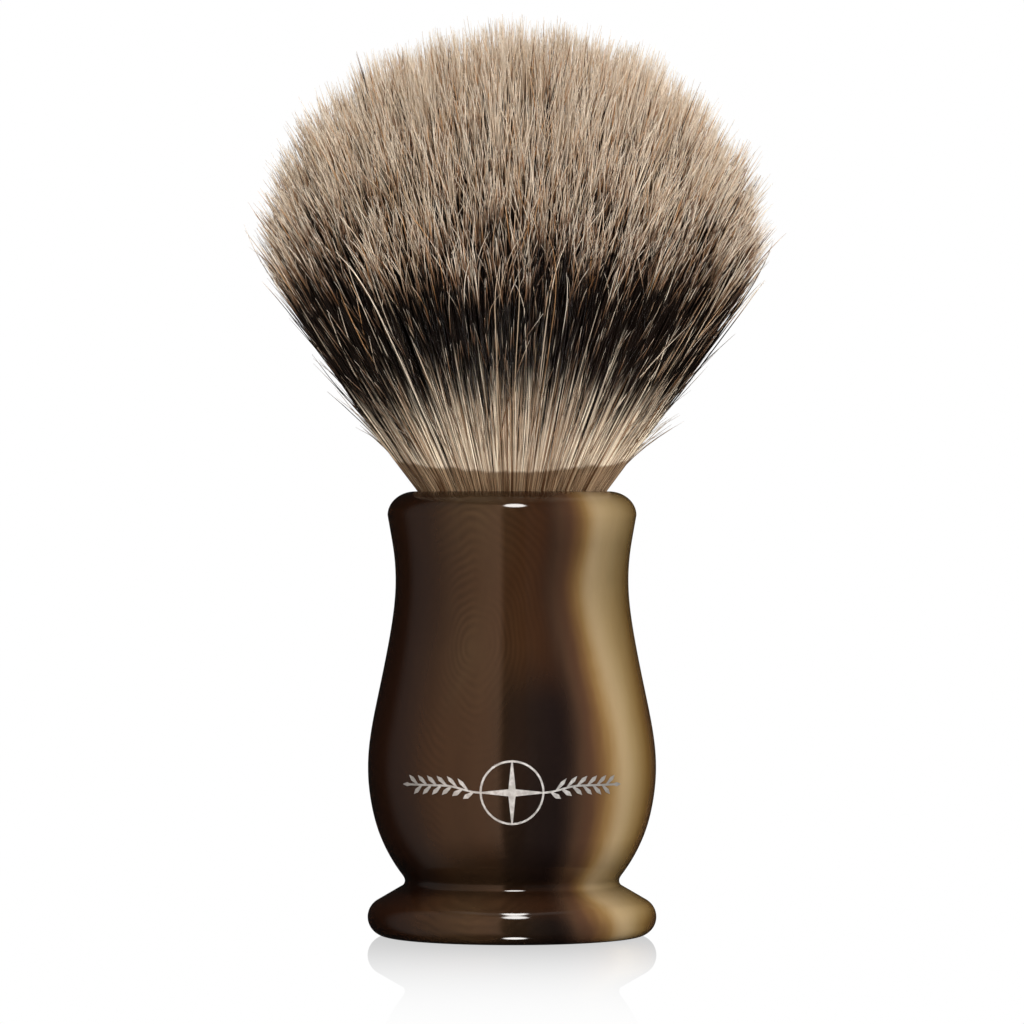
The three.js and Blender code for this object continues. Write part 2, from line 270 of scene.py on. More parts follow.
# ---- Horn resin ---------------------------------------------------------------------
# Each table has a row of heights in mm (or of angles in degrees) and a row of values.
EDGE = (  # left edge of the front streak, degrees
    [0, 1.7, 4.5, 6.2, 9.5, 13, 18, 24.7, 29.7, 34.8, 39.8, 44.8, 49.3, 52.4, 54.3, 56],
    [40.5, 39.0, 35.5, 36, 38.5, 39.5, 39.7, 39, 38.2, 35.5, 32.6, 31.4, 33.8, 34, 33, 33],
)
REACH = (  # how fast the streak's right part is crossed: lower reaches further round; the further reach on the foot's slope and from the neck up is painted light falling on those slopes
    [0, 2, 3.5, 6, 8, 12, 28, 36, 44, 56],
    [1, 1, 0.55, 0.35, 0.6, 1, 1, 0.7, 0.5, 0.5],
)
STRENGTH = (  # brightness of the front streak; its dip from 7 to 10 mm is painted shade in the groove above the foot
    [0, 1, 3, 4.6, 5.8, 7.2, 8.3, 9.5, 12.7, 17, 24, 30, 35, 40, 44.8, 49.3, 52.4, 54.3, 56],
    [.80, .88, .92, 1.0, 1.05, .5, .5, .58, .88, .88, .93, .96, .90, .78, .64, .61, .77, .95, 1],
)
BACK_EDGE = (  # right edge of the narrower streak on the far side, degrees
    [0, 5, 9, 16, 24, 32, 40, 48, 56],
    [-118, -112, -117, -124, -121, -127, -136, -133, -139],
)
# brightness of the far side's streak; its dip from 6 to 8.3 mm is painted shade in the groove above
# the foot
BACK_STRENGTH = (
    [0, 4.6, 6, 8.3, 14, 24, 34, 44, 56],
    [.74, .86, .5, .52, .80, .86, .78, .62, .80],
)
OLIVE = (  # share of the olive clouding
    [0, 6, 8, 12, 28, 36, 44, 52, 56],
    [1, 0.9, .8, .55, .6, 1, .75, 1.0, 1.3],
)
COLD = ([0, 3, 4.6, 6.4, 8, 56], [1, 1, 0.35, 0.35, 1, 1])  # share of the near-black tone
SHADE_HEIGHTS = ([0, 1.2, 5.5, 7.0, 8.4, 11, 13, 56], [0.7, 1, 1, 0.45, 0.45, 0.8, 1, 1])  # brightness: painted shade in the groove above the foot and at the foot's bottom edge
SHADE_ANGLES = ([-180, -70, -44, -30, 180], [1, 0.72, 0.8, 1, 1])  # the same against the angle: painted shade on the left flank
GROWTH_CENTRE = (-0.005, -0.016, 0.037)  # middle of the growth lines
PALE_RAMP = (  # degrees from a streak's edge, display colour; the darkening past 19.5 degrees is partly the resin's amber edge and partly painted shade where the brush's side turns away from the light
    (-20, (46, 31, 24)), (-12, (70, 50, 37)), (-5, (91, 64, 44)), (0, (124, 93, 58)),
    (4, (154, 124, 82)), (11, (183, 158, 119)), (19.5, (168, 142, 98)),
    (28, (142, 111, 64)), (38, (116, 84, 50)), (60, (62, 40, 26)),
)


def horn_fields(points):
    """Large-scale streaks of the cast resin, and painted shade, as three sets of three channels."""
    x, y, z = points.T
    angle = np.degrees(np.arctan2(x, -y))
    streak = angle - spline(*EDGE)(z)
    streak = np.where(streak > 11, 11 + (streak - 11) * np.interp(z, *REACH), streak)
    front = 1 - smooth01((np.abs(angle) - 140) / 25)
    back_edge = spline(*BACK_EDGE)(z)
    back_streak = np.where(angle > 100, back_edge - angle + 360, back_edge - angle)
    behind = np.where(angle > 0, smooth01((angle - 112) / 20), smooth01((-78 - angle) / 12))
    olive = np.exp(-(((angle + 18) / 21) ** 2)) * np.interp(z, *OLIVE)
    cold = smooth01((38 - z) / 9) * smooth01((angle + 14) / 14) * smooth01((45 - angle) / 12)
    cold = cold * np.interp(z, *COLD)
    far = smooth01((np.abs(angle) - 95) / 30)
    # painted shade: darker in the groove, at the foot's bottom edge and on the left flank
    painted_shade = np.interp(z, *SHADE_HEIGHTS) * np.interp(angle, *SHADE_ANGLES)
    return {
        "horn_a": (streak, np.interp(z, *STRENGTH), front),
        "horn_b": (back_streak, np.interp(z, *BACK_STRENGTH), behind),
        "horn_c": (olive, np.clip(cold + far * 0.35, 0, 1), painted_shade),
    }


def growth_lines(nodes, position, stretched):
    """Bent rings, fine as a fingerprint and patchy, centred on 0."""
    offset = nodes.vector_maths("SUBTRACT", position, GROWTH_CENTRE)
    lines = nodes.new("TexWave", {
        "Vector": nodes.vector_maths("MULTIPLY", offset, (1.0, 1.0, 0.62)),
        "Scale": 470, "Distortion": 15.0, "Detail": 2.5, "Detail Scale": 0.28,
    }, wave_type="RINGS", rings_direction="SPHERICAL", wave_profile="SIN")
    patch = nodes.fade(nodes.noise(stretched, 210, detail=2), 0.35, 0.68)
    return nodes.times(nodes.maths("SUBTRACT", lines.outputs["Fac"], 0.5), patch)


def dark_horn(nodes, position, stretched, fine):
    """Brown to near-black body, clouded with olive."""
    olive, cold, painted_shade = nodes.attribute("horn_c")
    growth = growth_lines(nodes, position, stretched)
    tone = nodes.noise(stretched, 75, detail=2, distortion=0.6)
    brown = nodes.mix(nodes.fade(tone, 0.38, 0.66), srgb(43, 23, 13), srgb(55, 32, 17))
    black = nodes.mix(nodes.fade(tone, 0.35, 0.7), srgb(15, 9, 7), srgb(25, 16, 15))
    brown = nodes.mix(cold, brown, black)
    cloud = nodes.noise(stretched, 95, detail=4, rough=0.6, distortion=0.8)
    cloud = nodes.times(olive, nodes.fade(cloud, 0.25, 0.70, low=0.55))
    brown = nodes.mix(cloud, brown, srgb(62, 46, 30))
    # the growth lines show most where the resin is olive
    shade = nodes.times_add(growth, nodes.times_add(olive, 0.36, 0.08), 1.0)
    # the painted shade from horn_c darkens the body
    shade = nodes.times(nodes.times_add(fine, 0.20, shade), painted_shade)
    return nodes.vector_maths("SCALE", brown, shade)


def add_streak(nodes, colour, channels, warp, fine, end):
    """Lay a pale streak over the colour: brown, amber, cream and back by degrees from its edge."""
    degrees, strength, share = channels
    degrees = nodes.times_add(warp, 9.0, degrees)
    first, last = PALE_RAMP[0][0], PALE_RAMP[-1][0]
    ramp = nodes.new("ValToRGB", {0: nodes.fade(degrees, first, last, shape="LINEAR")})
    ramp.color_ramp.interpolation = "CARDINAL"
    stops = ramp.color_ramp.elements  # starts with a stop at each end
    for at, _ in PALE_RAMP[1:-1]:
        stops.new((at - first) / (last - first))
    for stop, (_, display) in zip(stops, PALE_RAMP):
        stop.color = (*srgb(*display), 1)
    veins = nodes.times_add(fine, 0.12, nodes.times_add(warp, 0.16, strength))
    light = nodes.vector_maths("SCALE", ramp.outputs[0], veins)
    inside = nodes.times(nodes.fade(degrees, -22, -9), nodes.fade(degrees, *end, low=1.0, high=0.0))
    return nodes.mix(nodes.times(inside, share), colour, light)


def horn_material():
    made, nodes = new_material("horn_resin")
    position = nodes.position()
    stretched = nodes.vector_maths("MULTIPLY", position, (1.0, 1.0, 0.28))
    warp = nodes.maths("SUBTRACT", nodes.noise(stretched, 150, distortion=0.4), 0.5)
    fine = nodes.maths("SUBTRACT", nodes.noise(stretched, 620, detail=4, rough=0.6), 0.5)
    colour = dark_horn(nodes, position, stretched, fine)
    for name, end in (("horn_a", (46, 72)), ("horn_b", (34, 52))):
        colour = add_streak(nodes, colour, nodes.attribute(name), warp, fine, end)
    smear = nodes.vector_maths("MULTIPLY", position, (1, 1, 2.5))
    smear = nodes.noise(smear, 900, detail=2)
    nodes.principled({
        "Base Color": colour,
        "Roughness": nodes.fade(smear, 0.3, 0.8, low=0.045, high=0.09, shape="LINEAR"),
        "IOR": 1.5,
        "Normal": nodes.bump(nodes.noise(position, 350, detail=2), 0.012, 0.0002),
    })
    return made


def build_handle():
    handle = lathe("horn_handle", handle_profile(), HANDLE_SEGMENTS)
    points = np.zeros(len(handle.data.vertices) * 3, np.float32)
    handle.data.vertices.foreach_get("co", points)
    for name, channels in horn_fields(points.reshape(-1, 3) / MM).items():
        store_vectors(handle.data, name, channels)
    handle.data.materials.append(horn_material())
    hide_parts("handle_body")
    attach(handle, "handle")


build_handle()


# ---- Materials of the CAD pieces that stay ------------------------------------------
def foil_material():
    """Silver foil, greyer towards its left and right ends: painted shade for the darker studio that
    the curved foil mirrors there.
    """
    made, nodes = new_material("silver_foil")
    position = nodes.position()
    grain = nodes.noise(position, 1500, rough=0.6)
    across = nodes.maths("ABSOLUTE", nodes.split(position)[0])
    # painted shade: the foil's colour greys towards its left and right ends
    far = nodes.times(nodes.fade(across, 0.0045, 0.0135), 0.62)
    bright = nodes.mix(nodes.fade(grain, 0.35, 0.7), srgb(190, 187, 184), srgb(226, 224, 222))
    nodes.principled({
        "Base Color": nodes.mix(far, bright, srgb(126, 121, 116)),
        "Metallic": 0.35,
        "Roughness": nodes.fade(grain, 0.3, 0.7, low=0.42, high=0.6, shape="LINEAR"),
        "Normal": nodes.bump(grain, 0.15, 0.00005),
    })
    return made


def resin_material(name, dark, light, rough):
    """Cloudy resin between two display colours."""
    made, nodes = new_material(name)
    position = nodes.position()
    cloud = nodes.noise(position, 260, detail=4, rough=0.6, distortion=0.5)
    nodes.principled({
        "Base Color": nodes.mix(nodes.fade(cloud, 0.3, 0.7), srgb(*dark), srgb(*light)),
        "Roughness": nodes.fade(cloud, 0.3, 0.7, low=rough, high=rough + 0.15, shape="LINEAR"),
        "Normal": nodes.bump(nodes.noise(position, 700), 0.25, 0.0002),
    })
    return made


def thread_material():
    """Waxed thread with a twist that runs round the bundle."""
    made, nodes = new_material("waxed_thread")
    position = nodes.position()
    x, y, z = nodes.split(position)
    angle = nodes.maths("ARCTAN2", x, nodes.times(y, -1))
    # 88 turns of twist in one round
    twist = nodes.maths("ADD", nodes.times(angle, 88), nodes.times(z, 7000))
    twist = nodes.maths("SINE", twist)
    tone = nodes.times_add(twist, 0.3, nodes.noise(position, 900, rough=0.6))
    nodes.principled({
        "Base Color": nodes.mix(nodes.fade(tone, 0.1, 0.9), srgb(166, 152, 120), srgb(226, 216, 190)),
        "Roughness": 0.62,
        "Sheen Weight": 0.3,
        "Normal": nodes.bump(twist, 0.5, 0.0001),
    })
    return made


def repaint(node, paint):
    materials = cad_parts[node].data.materials
    materials.clear()
    materials.append(paint)


repaint("emblem_foil", foil_material())
repaint("socket_adhesive",
        resin_material("epoxy", dark=(150, 122, 70), light=(196, 170, 112), rough=0.18))
repaint("knot_plug",
        resin_material("plug_resin", dark=(84, 54, 30), light=(122, 84, 50), rough=0.35))
repaint("binding_thread", thread_material())


# ---- Hair growth --------------------------------------------------------------------
# Heights are above the rim. A hair's place in the bundle is its share of the bundle's radius
# (0 in the middle, 1 at the side) and its angle. Along a hair, t is 0 at the rim and 1 at its tip.
HAIRS = 17500
SHORT_HAIRS = 1300
WILD_HAIRS = 80  # short hairs that are thick and lie right across the others
CUT = 22.0  # height at which each hair's lower piece ends and its upper piece starts
LOWER_ROWS, UPPER_ROWS, SHORT_ROWS = 7, 11, 8  # rings along one hair
SHORT_END = 0.0006  # step in t of an end ring, so a cap doesn't bend the shading of the side
BUNDLE_R = 11.85
ROOT_DEPTH = 4.0  # how far the hair goes down into the socket
ROOT_SQUEEZE = 0.955  # width of the bundle there, against the rim
DOME_R, DOME_H, DOME_FOOT = 31.7, 28.9, 30.0
GOLDEN_ANGLE = 2.399963
# tufts: small ones of about 6 hairs, inside larger and looser ones (count, scatter)
SMALL_TUFTS, LARGE_TUFTS, LOOSE_TUFTS = (3000, 0.009), (640, 0.016), (130, 0.030)
BAND_FOOT = (  # degrees round the bundle, mm by which the dark band reaches lower; the extra reach on the left and right flanks is partly painted shade there
    [-180, -120, -90, -50, -20, 0, 20, 50, 90, 140, 180],
    [2.5, 4, 5, 4.4, 1.2, -0.6, 0.9, 3.0, 3.8, 3, 2.5],
)
TIP_FOOT = (  # degrees round the bundle, mm of pale tip on the outermost hairs
    [-180, -90, -30, -6, 6, 30, 90, 180],
    [1.7, 2.0, 2.1, 1.6, 1.6, 2.5, 2.1, 1.7],
)


def round_bundle(angle, table):
    return np.interp((np.degrees(angle) + 180) % 360 - 180, *table)


def along(directions, amounts):
    return directions * amounts[:, None]


def dot(a, b):
    return (a * b).sum(1)[:, None]


def unit(vectors):
    return vectors / np.linalg.norm(vectors, axis=1)[:, None]


def dome_point(share, angle):
    """Where a hair rooted at this place in the bundle ends on the dome."""
    rise = 1 - 1.02 * share**2
    r = DOME_R * np.sqrt(1 - np.abs(rise) ** 2.15)  # a little squarer than an ellipse
    lean = 0.35 * smooth01(rise * 3)
    return np.stack([r * np.sin(angle) + lean, -r * np.cos(angle), DOME_FOOT + DOME_H * rise], -1)


def hair_frame(share, angle):
    """Root, tip, two directions across the hair (round the bundle, outwards) and level outwards."""
    zero = np.zeros(len(share))
    level = np.stack([np.sin(angle), -np.cos(angle), zero], -1)
    around = np.stack([np.cos(angle), np.sin(angle), zero], -1)
    root = along(level, BUNDLE_R * share)
    tip = dome_point(share, angle)
    axis = unit(tip - root)
    side = unit(around - dot(around, axis) * axis)
    out = np.cross(side, axis)
    out *= np.sign(dot(out, level))
    return root, tip, side, out, level


def buried(root):
    return root * [ROOT_SQUEEZE, ROOT_SQUEEZE, 1.0] - [0, 0, ROOT_DEPTH]


def tip_distance(path):
    steps = np.linalg.norm(np.diff(path, axis=1), axis=2)
    return np.concatenate([np.cumsum(steps[:, ::-1], 1)[:, ::-1], np.zeros((len(path), 1))], 1)


def make_tufts(rng, share, angle, count, scatter):
    """Radius share and angle of each hair's nearest tuft, and that tuft's number."""
    j = np.arange(count)
    tuft_share = np.sqrt((j + 0.5) / count) + rng.normal(0, scatter, count)
    turn = rng.normal(0, scatter, count) / np.maximum(tuft_share, 0.15)
    tuft_angle = j * GOLDEN_ANGLE + 1.1 + turn
    tuft_share = np.clip(tuft_share, 0, 1)
    centres = np.stack([tuft_share * np.cos(tuft_angle), tuft_share * np.sin(tuft_angle)], -1)
    hairs = np.stack([share * np.cos(angle), share * np.sin(angle)], -1)
    own = np.zeros(len(share), int)
    block = 1500  # hairs measured at once, to save memory
    for s in range(0, len(share), block):
        distance = ((hairs[s : s + block, None] - centres[None]) ** 2).sum(-1)
        own[s : s + block] = distance.argmin(1)
    return tuft_share[own], tuft_angle[own], own


def grow_long(rng):
    """The hairs that make the dome. The order of the random draws shapes every hair."""
    count = HAIRS
    i = np.arange(count)

    def per_hair(spread=1):
        return rng.normal(0, spread, count)

    share = np.clip(np.sqrt((i + 0.5) / count) + per_hair(0.010), 0, 1.0)
    angle = i * GOLDEN_ANGLE % (2 * np.pi)
    angle = angle + per_hair(0.012) / np.maximum(share, 0.15)
    small_share, small_angle, small_own = make_tufts(rng, share, angle, *SMALL_TUFTS)
    large_share, large_angle, large_own = make_tufts(rng, share, angle, *LARGE_TUFTS)
    loose_share, loose_angle, loose_own = make_tufts(rng, share, angle, *LOOSE_TUFTS)

    def per_small():
        return rng.normal(0, 1, SMALL_TUFTS[0])[small_own]

    def per_large():
        return rng.normal(0, 1, LARGE_TUFTS[0])[large_own]

    # each tip is pulled to its small tuft, which is pulled to the larger ones
    root, tip, side, out, level = hair_frame(share, angle)
    small_pull = rng.uniform(0.30, 0.92, SMALL_TUFTS[0])[small_own]
    large_pull = rng.uniform(0.25, 0.80, LARGE_TUFTS[0])[large_own]
    loose_pull = rng.uniform(0.0, 0.15, LOOSE_TUFTS[0])[loose_own]
    target = dome_point(small_share, small_angle)
    target = target + along(dome_point(large_share, large_angle) - target, large_pull)
    target = target + along(dome_point(loose_share, loose_angle) - target, loose_pull)
    shift = along(target - tip, small_pull)

    # lengths: most end at the dome, some short, a few proud
    edge = smooth01((share - 0.90) / 0.1)
    outer = edge > 0.3
    calm = 0.46 + 0.54 * share**2  # the top of the crown is the most even
    short = calm * (rng.exponential(0.030, count) - 0.025
                    + 0.022 * per_small() + 0.038 * np.abs(per_large()))
    short = np.clip(short + edge * rng.exponential(0.03, count), -0.045, 0.26)

    # strays wander most, mm
    stray = rng.random(count) < 0.10
    wander = np.where(stray, rng.uniform(1.4, 4.2, count), rng.uniform(0.2, 1.0, count))
    wander = wander * calm**0.6
    lean_side = per_hair() * wander + 0.5 * per_small() + 0.8 * per_large()
    lean_out = 0.5 * per_hair() * wander + 0.3 * per_small() + 0.35 * per_large()
    lean_out = np.where(outer, np.minimum(lean_out, 0.5), lean_out)
    sway = along(side, lean_side) + along(out, lean_out)
    bow = along(side, per_hair() * wander * 0.5) + along(out, per_hair(0.35) * wander)
    bow = along(bow, np.where(outer, 0.5, 1.0))
    drift = along(out, edge * np.abs(per_hair(0.8)) * (rng.random(count) < 0.25))
    # the outermost stand a little proud of the bundle's side and lie across each other
    proud = edge * rng.exponential(0.14, count)
    bulge = along(level, 0.15 * share**2) + along(out, proud) + along(side, edge * per_hair(0.22))
    # the last few mm turn away on their own
    flick_out = per_hair(0.75)
    flick_out = np.where(edge > 0.5, np.minimum(flick_out, 0.6), flick_out)
    flick = along(side, per_hair(1.25)) + along(out, flick_out)

    def at(t):
        t = t[:, None]
        return (root + (tip - root) * t * (1 - short[:, None])
                + bulge * 4 * t * (1 - t) + shift * t**2.2 + sway * t**2
                + bow * 4 * t * (1 - t) * t + drift * t**1.6 + flick * t**8)

    # find by halving where each hair passes the cut
    low, high = np.zeros(count), np.ones(count)
    for _ in range(22):
        middle = (low + high) / 2
        under = at(middle)[:, 2] < CUT
        low, high = np.where(under, middle, low), np.where(under, high, middle)
    cut = np.minimum((low + high) / 2, 0.93)
    rows = [buried(root)]
    for f in np.linspace(0, 1, LOWER_ROWS - 2) ** 1.15:
        rows.append(at(cut * f - (SHORT_END if f == 1 else 0)))
    rows.append(at(cut))
    lower = np.stack(rows, 1)
    steps = np.linspace(0, 1, UPPER_ROWS - 2) ** 0.72
    steps = np.sort(np.append(steps, [SHORT_END * 2, 1 - SHORT_END * 4]))
    upper = np.stack([at(cut + (1 - cut) * f) for f in steps], 1)
    to_tip = tip_distance(np.concatenate([lower, upper[:, 1:]], 1))

    # distances from the tip at which the pale tip and the dark band end
    inner = 1 - share**2
    tip_vary = np.clip(1 + per_hair(0.42) + 0.22 * per_small(), 0.2, 2.6)
    tip_end = (round_bundle(angle, TIP_FOOT) + 8.4 * inner + 8.0 * inner**4) * tip_vary
    tip_end = tip_end + np.clip(1.4 * per_large(), -1.2, 3.4)  # tufts reach down unevenly
    band_vary = np.clip(1 + per_hair(0.15) + 0.05 * per_large(), 0.55, 1.45)
    band_end = (18.9 + 5.0 * inner + round_bundle(angle, BAND_FOOT)) * band_vary
    kind = rng.random(count)
    pale = kind < 0.085 - 0.025 * edge  # hairs with no dark band
    tip_end = np.where(pale, 60.0, tip_end)
    band_end = np.where(pale, 80.0, band_end)
    tip_end = np.where(kind > 0.955, 1.5, tip_end)  # hairs dark nearly to the tip
    tint = rng.normal(0.5, 0.22, count) + 0.10 * per_small() + 0.08 * per_large()
    return SimpleNamespace(
        lower=(lower, to_tip[:, :LOWER_ROWS]), upper=(upper, to_tip[:, LOWER_ROWS - 1 :]),
        tip_end=tip_end, band_end=band_end, tint=np.clip(tint, 0, 1), warm=rng.random(count),
        thick=rng.uniform(0.66, 1.36, count), phase=rng.uniform(0, 2 * np.pi, count),
        side=side, out=out, angle=angle,
    )


def grow_short(rng):
    """Short hairs that end on the flank, springing a little away from it."""
    count = SHORT_HAIRS

    def per_hair(spread):
        return rng.normal(0, spread, count)

    share = rng.uniform(0.95, 1.0, count)
    angle = rng.uniform(0, 2 * np.pi, count)
    root, tip, side, out, _ = hair_frame(share, angle)
    reach = rng.uniform(0.28, 0.92, count)
    spring = along(out, np.abs(per_hair(1.15)) + 0.12) + along(side, per_hair(1.1))
    wild = np.arange(count) < WILD_HAIRS
    spring = np.where(wild[:, None], along(side, per_hair(4.6)) + out * 0.5, spring)
    reach = np.where(wild, rng.uniform(0.6, 0.96, count), reach)
    curl = along(out, rng.normal(0.1, 0.30, count)) + along(side, per_hair(0.35))
    rows = [buried(root)]
    for t in np.linspace(0, 1, SHORT_ROWS - 1):
        rows.append(root + along(tip - root, reach * t) + spring * t**2.6
                    + curl * 4 * t * (1 - t) * t)
    path = np.stack(rows, 1)
    to_tip = tip_distance(path)
    band_end = to_tip[:, 0] - ROOT_DEPTH - 15.5 + round_bundle(angle, BAND_FOOT) + per_hair(1.5)
    tip_end = np.where(wild, rng.uniform(3, 22, count), rng.uniform(0.3, 2.6, count))
    return SimpleNamespace(
        lower=(path, to_tip), tip_end=tip_end, band_end=np.clip(band_end, 2.5, None),
        tint=np.clip(rng.normal(0.5, 0.22, count), 0, 1), warm=rng.random(count),
        thick=rng.uniform(0.75, 1.1, count) * np.where(wild, 1.25, 1),
        phase=rng.uniform(0, 2 * np.pi, count), side=side, out=out,
    )


# ---- Hair meshes --------------------------------------------------------------------
UV_COLUMNS = 30  # each hair has its own cell of the map, its length along u
UV_FILL = (0.94, 0.80)  # used share of a cell


def hair_radius(to_tip):
    """A hair's section radius in mm: a fine tip, thickest in the band."""
    tip = 0.018 + 0.072 * np.clip(to_tip / 15.0, 0, 1) ** 0.5
    return tip * (1 - 0.22 * smooth01((to_tip - 24) / 14))


def hair_piece(name, hair, pick, part, paint):
    """One mesh of three-sided tubes for the picked hairs."""
    points, to_tip = (whole[pick] for whole in part)
    strands, rows = points.shape[:2]
    radius = hair_radius(to_tip) * hair.thick[pick][:, None]
    corners = []
    for j in range(3):
        turn = hair.phase[pick] + j * 2 * np.pi / 3
        offset = along(hair.side[pick], np.cos(turn)) - along(hair.out[pick], np.sin(turn))
        corners.append(points + offset[:, None, :] * radius[..., None])
    verts = np.stack(corners, 2)  # strands, rows, 3, xyz
    verts[..., 2] += RIM

    # faces of one strand, repeated for all
    row, corner = (a.ravel() for a in np.meshgrid(np.arange(rows - 1), np.arange(3), indexing="ij"))
    following = (corner + 1) % 3
    quads = np.stack([row * 3 + corner, row * 3 + following,
                      (row + 1) * 3 + following, (row + 1) * 3 + corner], -1).ravel()
    size = rows * 3
    strand_loops = np.concatenate([quads, [2, 1, 0], [size - 3, size - 2, size - 1]])
    strand_starts = np.append(np.arange(len(row)) * 4, [len(quads), len(quads) + 3])
    strand = np.arange(strands)
    loops = strand_loops + (strand * size)[:, None]
    starts = strand_starts + (strand * len(strand_loops))[:, None]
    made = mesh_object(name, verts.reshape(-1, 3), loops.ravel(), starts.ravel())
    mesh = made.data

    def per_ring(values):
        return np.repeat(values, 3, axis=1).reshape(-1)

    def per_strand(values):
        return np.repeat(values[pick], size)

    store_vectors(mesh, "hair_a",
                  (per_ring(to_tip), per_strand(hair.tip_end), per_strand(hair.band_end)))
    store_vectors(mesh, "hair_b",
                  (per_strand(hair.tint), per_strand(hair.warm), per_ring(points[..., 2])))

    lines = math.ceil(strands / UV_COLUMNS)
    length = np.stack([row, row, row + 1, row + 1], -1).ravel() / (rows - 1)
    length = np.append(length, [0, 0, 0, 1, 1, 1])
    girth = np.stack([corner, corner + 1, corner + 1, corner], -1).ravel() / 3
    girth = np.append(girth, [0.66, 0.33, 0.0, 0.0, 0.33, 0.66])
    u = (strand % UV_COLUMNS / UV_COLUMNS)[:, None] + length * (UV_FILL[0] / UV_COLUMNS)
    v = (strand // UV_COLUMNS / lines)[:, None] + girth * (UV_FILL[1] / lines)
    layer = mesh.uv_layers.new(name="OFBake")
    layer.data.foreach_set("uv", np.stack([u, v], -1).astype(np.float32).ravel())
    mesh.materials.append(paint)
    return made


def hair_material():
    """Pale tip, dark band and pale root, each hair with its own tint."""
    made, nodes = new_material("badger_hair")
    to_tip, tip_end, band_end = nodes.attribute("hair_a")
    tint, warm, height = nodes.attribute("hair_b")
    position = nodes.position()
    mottle = nodes.noise(position, 420, rough=0.6)

    def past(end, start, stop):
        beyond = nodes.maths("SUBTRACT", to_tip, end)
        return nodes.fade(nodes.times_add(mottle, 1.6, beyond), start, stop)

    in_band = past(tip_end, -1.0, 3.0)
    in_root = past(band_end, -3.0, 4.6)
    tip = nodes.mix(nodes.fade(tint, 0.05, 0.95), srgb(196, 170, 140), srgb(250, 235, 215))
    tip = nodes.mix(nodes.fade(warm, 0.80, 0.97), tip, srgb(200, 150, 102))
    band = nodes.mix(tint, srgb(7, 5, 4), srgb(34, 25, 21))
    # the root's tint is mostly independent of the tip's
    own = nodes.maths("FRACT", nodes.times_add(warm, 13.7, 0.3))
    own = nodes.times_add(tint, 0.35, nodes.times(own, 0.65))
    root = nodes.mix(nodes.fade(own, 0.12, 0.85), srgb(164, 134, 106), srgb(255, 239, 215))
    root = nodes.mix(nodes.fade(warm, 0.0, 0.22, low=1.0, high=0.0), root, srgb(122, 86, 56))
    # a hair with no band is duller along its middle
    tip = nodes.mix(nodes.fade(to_tip, 6.0, 14.0, high=0.42), tip, srgb(118, 96, 74))
    # bleached in the last millimetre or two
    tip = nodes.mix(nodes.fade(to_tip, 0.0, 2.4, low=0.6, high=0.0), tip, srgb(238, 228, 214))
    colour = nodes.mix(in_band, tip, band)
    amber = nodes.times(in_band, nodes.maths("SUBTRACT", 1.0, in_band), 3.0)
    colour = nodes.mix(amber, colour, srgb(124, 82, 50))
    colour = nodes.mix(in_root, colour, root)
    # the bottom of the hair is darker up to a ragged line; its rise at the left and right sides is
    # painted shade on the flanks
    x = nodes.split(position)[0]
    ragged = nodes.times_add(nodes.noise(position, 900, detail=1), 0.7, height)
    ragged = nodes.times_add(nodes.noise(position, 160, detail=2), 1.3, ragged)
    # painted shade: the line rises towards the left and right flanks
    ragged = nodes.times_add(nodes.times(nodes.times(x, x), 1e6), -0.0067, ragged)
    dark_foot_and_flank_shade = nodes.fade(ragged, 3.2, 3.7, low=1.0, high=0.0)
    colour = nodes.mix(dark_foot_and_flank_shade, colour, nodes.mix(1.0, colour, srgb(168, 152, 136), "MULTIPLY"))
    shade = nodes.fade(mottle, 0.25, 0.75, low=0.86, high=1.10, shape="LINEAR")
    nodes.principled({
        "Base Color": nodes.vector_maths("SCALE", colour, shade),
        "Roughness": nodes.times_add(in_band, -0.12, 0.42),
        "IOR": 1.5,
    })
    return made


def build_hair():
    rng = np.random.default_rng(1907)
    hair = grow_long(rng)
    short_hair = grow_short(rng)
    paint = hair_material()
    order = np.argsort(hair.angle % (2 * np.pi), kind="stable")
    lower = [hair_piece(f"hair_lower_{i + 1}", hair, pick, hair.lower, paint)
             for i, pick in enumerate(np.array_split(order, 5))]
    lower.append(hair_piece("hair_short", short_hair, np.arange(SHORT_HAIRS),
                            short_hair.lower, paint))
    upper = [hair_piece(f"hair_upper_{i + 1}", hair, pick, hair.upper, paint)
             for i, pick in enumerate(np.array_split(order, 10))]
    for piece in lower:
        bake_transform(piece)
    for piece in upper:
        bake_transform(piece)
    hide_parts("hair_roots", "hair_band")
    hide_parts("hair_tips")


build_hair()


# ---- Studio -------------------------------------------------------------------------
FLOOR_HALF, FLOOR_Z = 3000, -0.02  # mm


def floor_material():
    """White to the camera with a fading reflection of the brush, matte grey to other rays."""
    made, nodes = new_material("floor")
    path = nodes.new("LightPath")
    x, y, _ = nodes.split(nodes.position())
    r = nodes.maths("SQRT", nodes.maths("ADD", nodes.times(x, x), nodes.times(y, y)))
    fall = nodes.maths("POWER", nodes.maths("DIVIDE", r, 0.055), 1.6)
    share = nodes.times(nodes.maths("EXPONENT", nodes.times(fall, -1)), 0.44)
    white = nodes.new("Emission", {0: (1, 1, 1)})
    mirror = nodes.new("BsdfGlossy", {"Roughness": 0.0, "Color": (1, 1, 1)})
    matte = nodes.new("BsdfDiffuse", {"Color": (0.45, 0.45, 0.45)})
    # a polished side mirrors the studio's lower half, which the world holds
    clear = nodes.new("BsdfTransparent")

    def blend(factor, first, second):
        return nodes.new("MixShader", {0: factor, 1: first.outputs[0], 2: second.outputs[0]})

    seen = blend(share, white, mirror)
    both = blend(path.outputs["Is Camera Ray"], matte, seen)
    nodes.output(blend(path.outputs["Is Glossy Ray"], both, clear).outputs[0])
    return made


